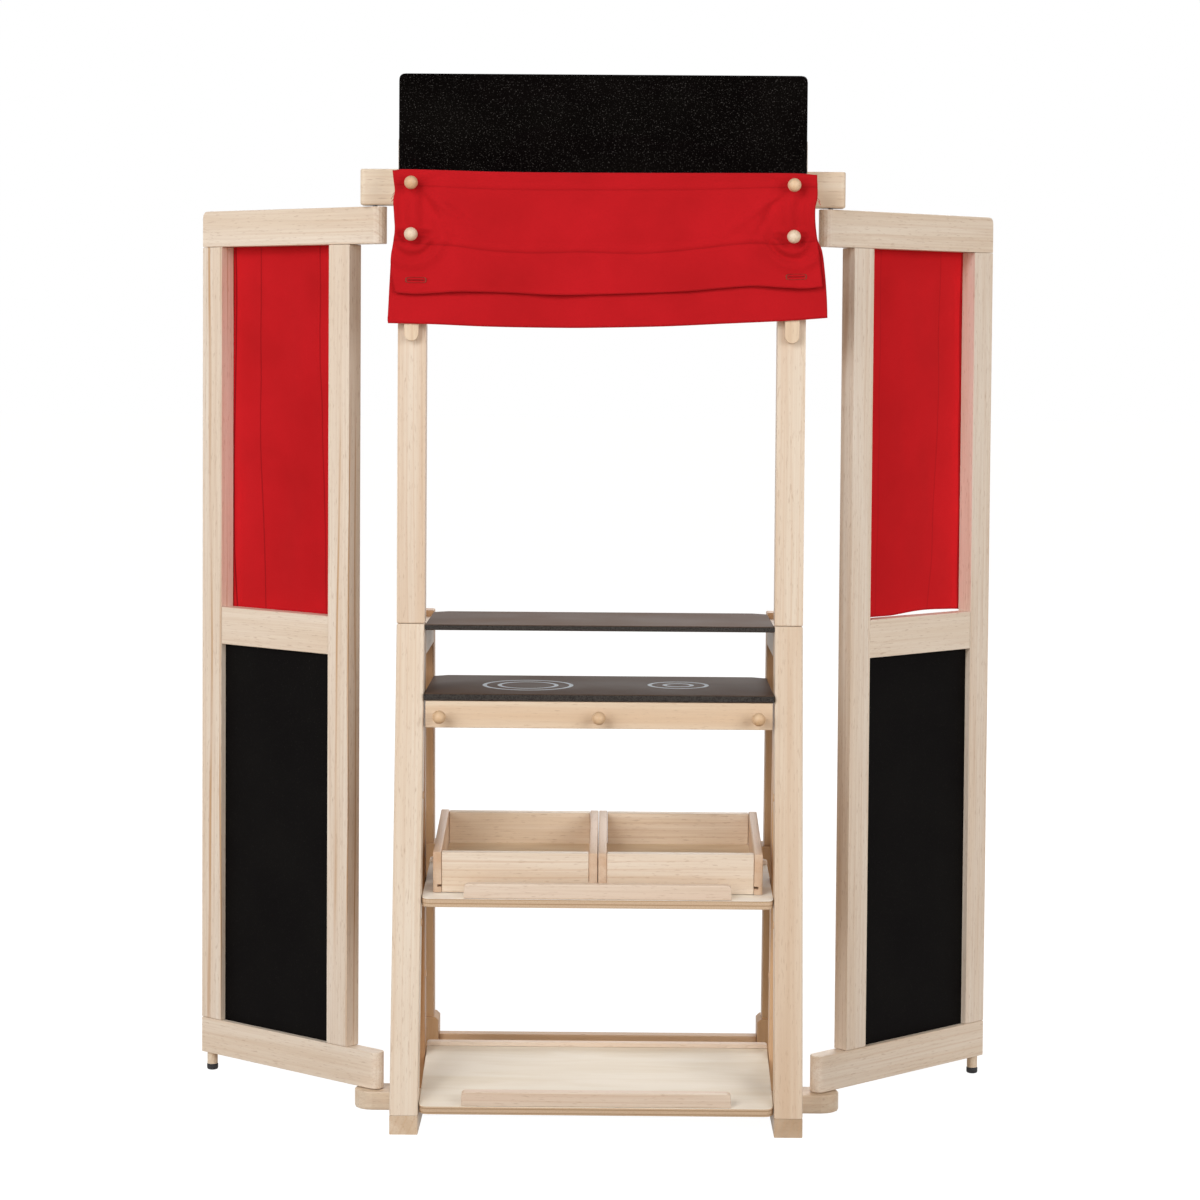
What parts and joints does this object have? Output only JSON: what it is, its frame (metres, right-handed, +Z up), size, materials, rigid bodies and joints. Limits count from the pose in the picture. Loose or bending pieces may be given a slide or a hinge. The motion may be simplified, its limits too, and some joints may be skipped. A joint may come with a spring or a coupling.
{
  "type": "puppet theater stand",
  "caption": "Child's wooden puppet theater and toy market stand with a stage opening, a toy kitchen shelf, sloping display shelves and hinged wings with chalkboards.",
  "frame": {"origin": "on the floor, at the middle of the bottom hinge bar's underside, in the plane of the two hinge axes", "axes": "+X to the right seen from the side with the shelves' lips, +Y away from that side towards the rear legs, +Z up"},
  "size_m": [0.8945, 0.3129, 1.118],
  "materials": {
    "beech": "clear satin lacquer on planed solid beech",
    "birch_plywood": "cream satin lacquer on thin plywood",
    "black_laminate": "smooth semi-gloss black laminate on board",
    "chalkboard_paint": "matt black chalkboard coating on board",
    "red_cotton": "plain woven dyed cotton, hemmed",
    "pin_steel": "bright drawn steel pin",
    "rubber_tip": "black rubber tip on a wooden dowel"
  },
  "bodies": {
    "root": {"bottom_hinge_bar": "beech", "bottom_rear_rail": "beech", "display_shelf_lower": "birch_plywood", "display_shelf_upper": "birch_plywood", "front_leg_left": "beech", "front_leg_right": "beech", "front_lip_lower": "birch_plywood", "front_lip_upper": "birch_plywood", "header_board": "chalkboard_paint", "inner_leg_left": "beech", "inner_leg_right": "beech", "kitchen_shelf": "black_laminate", "knob_batten_left": "beech", "knob_batten_right": "beech", "lower_knob_left": "beech", "lower_knob_right": "beech", "lower_pin_left": "pin_steel", "lower_pin_right": "pin_steel", "middle_rear_rail": "beech", "peg_left": "beech", "peg_middle": "beech", "peg_rail": "beech", "peg_right": "beech", "post_left": "beech", "post_right": "beech", "rear_leg_left": "beech", "rear_leg_right": "beech", "rear_lip_lower": "birch_plywood", "rear_lip_upper": "birch_plywood", "side_apron_left": "beech", "side_apron_right": "beech", "side_runner_left": "beech", "side_runner_right": "beech", "stage_shelf": "black_laminate", "top_hinge_bar": "beech", "upper_knob_left": "beech", "upper_knob_right": "beech", "upper_pin_left": "pin_steel", "upper_pin_right": "pin_steel", "valance": "red_cotton"},
    "wing_left": {"chalkboard_left": "chalkboard_paint", "wing_bottom_rail_left": "beech", "wing_curtain_left": "red_cotton", "wing_foot_left": "rubber_tip", "wing_inner_stile_left": "beech", "wing_middle_rail_left": "beech", "wing_outer_stile_left": "beech", "wing_top_rail_left": "beech"},
    "wing_right": {"chalkboard_right": "chalkboard_paint", "wing_bottom_rail_right": "beech", "wing_curtain_right": "red_cotton", "wing_foot_right": "rubber_tip", "wing_inner_stile_right": "beech", "wing_middle_rail_right": "beech", "wing_outer_stile_right": "beech", "wing_top_rail_right": "beech"},
    "box_left": {"box_floor_left": "birch_plywood", "box_left": "beech"},
    "box_right": {"box_floor_right": "birch_plywood", "box_right": "beech"}
  },
  "joints": [
    {"name": "wing_left_swing", "type": "hinge", "parent": "root", "child": "wing_left", "pos_m": [-0.2455, 0, 0.5], "axis": [0, 0, -1], "range_deg": [-99.2, 50.8]},
    {"name": "wing_right_swing", "type": "hinge", "parent": "root", "child": "wing_right", "pos_m": [0.2455, 0, 0.5], "axis": [0, 0, 1], "range_deg": [-103, 47]},
    {"name": "box_left_lift", "type": "slide", "parent": "root", "child": "box_left", "axis": [0, -0.143, 0.9897], "range_m": [0, 0.085]},
    {"name": "box_right_lift", "type": "slide", "parent": "root", "child": "box_right", "axis": [0, -0.143, 0.9897], "range_m": [0, 0.085]}
  ]
}
